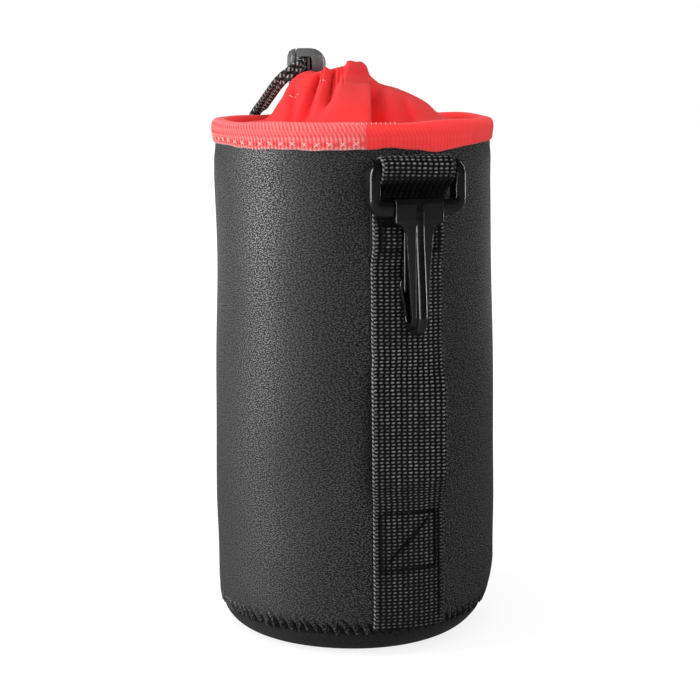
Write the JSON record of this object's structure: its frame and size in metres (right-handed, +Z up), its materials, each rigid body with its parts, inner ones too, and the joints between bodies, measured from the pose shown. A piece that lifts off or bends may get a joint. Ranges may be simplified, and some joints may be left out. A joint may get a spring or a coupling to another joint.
{
  "type": "lens_pouch",
  "caption": "Padded neoprene drawstring lens pouch with a red bound rim, gathered red collar, cord lock, webbing belt loop and plastic snap hook",
  "frame": {"origin": "centre of the flat underside of the base", "axes": "+Z is up along the pouch's axis, -Y points out through the strap and hook, +X is to the right seen from the strap's side"},
  "size_m": [0.1, 0.1148, 0.2033],
  "materials": {
    "neoprene": "knit-faced foam",
    "neoprene_base": "smooth knit-faced foam",
    "red_binding": "knit tape",
    "red_cloth": "thin stretch knit",
    "black_cord": "braided",
    "black_webbing": "ribbed webbing",
    "hook_plastic": "moulded gloss",
    "lock_plastic": "moulded satin",
    "spring_steel": "drawn wire"
  },
  "bodies": {
    "pouch": {"neoprene_body": "neoprene", "base_disc": "neoprene_base", "rim_binding": "red_binding", "drawstring_collar": "red_cloth", "drawcord_loop": "black_cord", "drawcord_tail_upper": "black_cord", "drawcord_tail_lower": "black_cord", "drawcord_knot": "black_cord", "cord_lock_barrel": "lock_plastic", "cord_lock_spring": "spring_steel", "belt_strap": "black_webbing"},
    "lock_plunger": {"cord_lock_plunger": "lock_plastic"},
    "frame": {"hook_frame": "hook_plastic"},
    "hook": {"hook_body": "hook_plastic"},
    "gate": {"hook_gate": "hook_plastic"}
  },
  "joints": [
    {"name": "plunger_press", "type": "slide", "parent": "pouch", "child": "lock_plunger", "axis": [0.9317, -0.3633, 0], "range_m": [0, 0.0016], "stiffness_N_per_m": 800, "deforming": ["cord_lock_spring"]},
    {"name": "frame_swing", "type": "hinge", "parent": "pouch", "child": "frame", "pos_m": [0, -0.05536, 0.1658], "axis": [-1, 0, 0], "range_deg": [0, 95]},
    {"name": "hook_pivot", "type": "hinge", "parent": "frame", "child": "hook", "pos_m": [0, -0.05536, 0.153], "axis": [-1, 0, 0], "range_deg": [0, 95]},
    {"name": "gate_flex", "type": "hinge", "parent": "hook", "child": "gate", "pos_m": [0, -0.05416, 0.1491], "axis": [-1, 0, 0], "range_deg": [0, 5.5], "stiffness_Nm_per_rad": 0.1}
  ]
}
